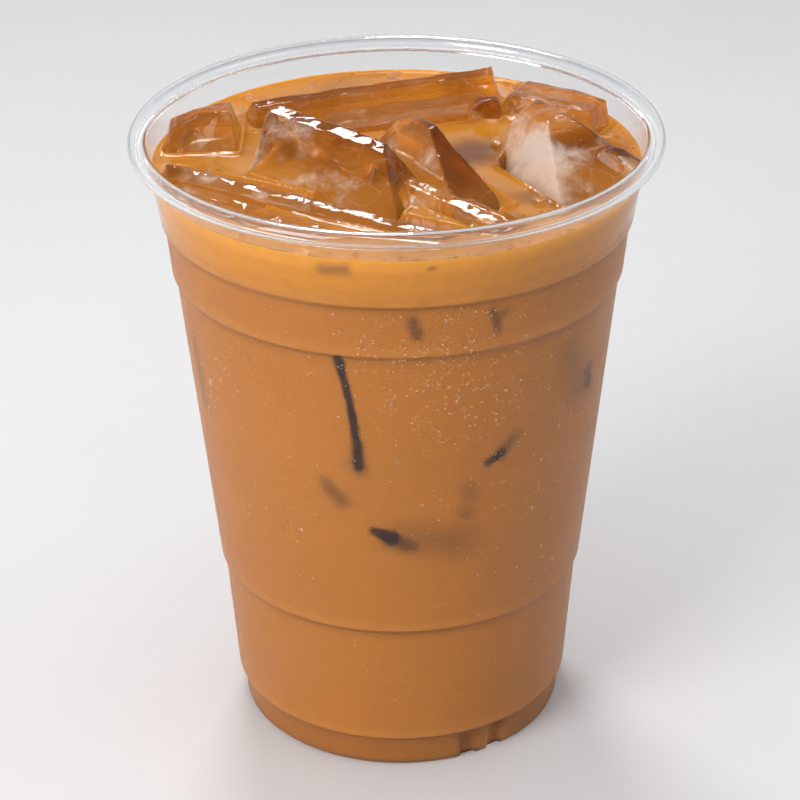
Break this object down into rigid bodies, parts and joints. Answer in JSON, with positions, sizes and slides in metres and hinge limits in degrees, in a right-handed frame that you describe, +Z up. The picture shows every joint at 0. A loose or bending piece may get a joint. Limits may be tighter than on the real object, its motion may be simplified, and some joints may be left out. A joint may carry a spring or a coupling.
{
  "type": "iced coffee",
  "caption": "Milky iced coffee in a clear tapered cold cup with a rolled lip, filled nearly to the top, with broken clear ice standing out of the drink.",
  "frame": {"origin": "centre of the cup's foot, on the surface that it stands on", "axes": "+Z up along the cup's axis, -Y to the front, +X to the right seen from the front"},
  "size_m": [0.098, 0.098, 0.1228],
  "materials": {
    "cup": "thin clear plastic, softly fogged",
    "coffee": "opaque milk coffee, wet gloss",
    "ice": "clear wet ice with cloudy patches"
  },
  "bodies": {
    "root": {"cup": "cup", "coffee": "coffee", "ice_block_left": "ice", "ice_chip_centre": "ice", "ice_chunk_right": "ice", "ice_lump_back": "ice", "ice_nub_back": "ice", "ice_peak_centre": "ice", "ice_peak_left": "ice", "ice_plate_front": "ice", "ice_plate_middle": "ice", "ice_shard_front": "ice", "ice_slab_back": "ice", "ice_slab_front": "ice", "ice_tip_right": "ice", "ice_tongue": "ice"}
  },
  "joints": []
}
